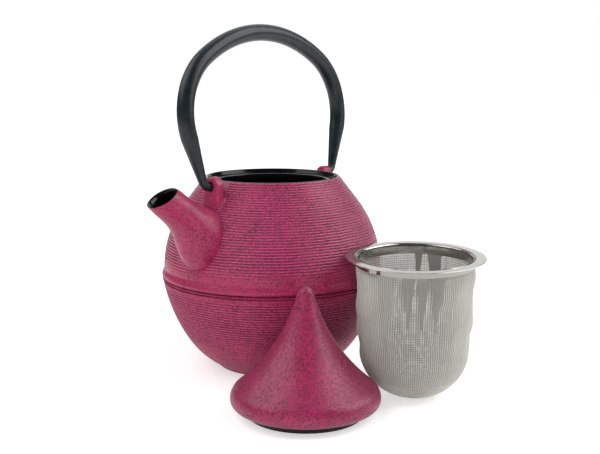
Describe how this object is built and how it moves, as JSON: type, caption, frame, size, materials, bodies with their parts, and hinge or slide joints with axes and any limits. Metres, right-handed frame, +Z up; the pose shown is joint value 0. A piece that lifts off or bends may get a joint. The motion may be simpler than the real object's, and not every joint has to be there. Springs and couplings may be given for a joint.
{
  "type": "cast iron teapot",
  "caption": "Round ribbed cast iron teapot with short spout and hooked bail handle; its bell-shaped lid and steel mesh infuser stand beside it. The bail swings, lid and infuser lift.",
  "frame": {"origin": "centre of the pot's foot ring, on the table", "axes": "+Z up, +X along the spout, the handle's hinge line along X, the lid and the infuser stand on the +Y side"},
  "size_m": [0.2071, 0.249, 0.2462],
  "materials": {
    "raspberry_iron": "matte raspberry paint rubbed over a dark ground, finely speckled",
    "black_enamel": "glossy black enamel",
    "black_iron": "satin black paint",
    "polished_steel": "bright stainless sheet",
    "steel_mesh": "fine plain-woven stainless wire"
  },
  "bodies": {
    "pot": {"pot_body": "raspberry_iron", "pot_enamel_lining": "black_enamel"},
    "handle": {"bail_handle": "black_iron"},
    "lid": {"lid_body": "raspberry_iron", "lid_enamel_lining": "black_enamel"},
    "infuser": {"infuser_rim": "polished_steel", "infuser_mesh_cup": "steel_mesh", "infuser_clamp_ring": "polished_steel"}
  },
  "joints": [
    {"name": "handle_swing", "type": "hinge", "parent": "pot", "child": "handle", "pos_m": [0, 0, 0.1365], "axis": [1, 0, 0], "range_deg": [-112, 118]},
    {"name": "lid_lift", "type": "slide", "parent": "pot", "child": "lid", "axis": [0.4852, 0.1204, 0.8661], "range_m": [0, 0.18]},
    {"name": "infuser_lift", "type": "slide", "parent": "pot", "child": "infuser", "axis": [0, 0, 1], "range_m": [0, 0.17]}
  ]
}
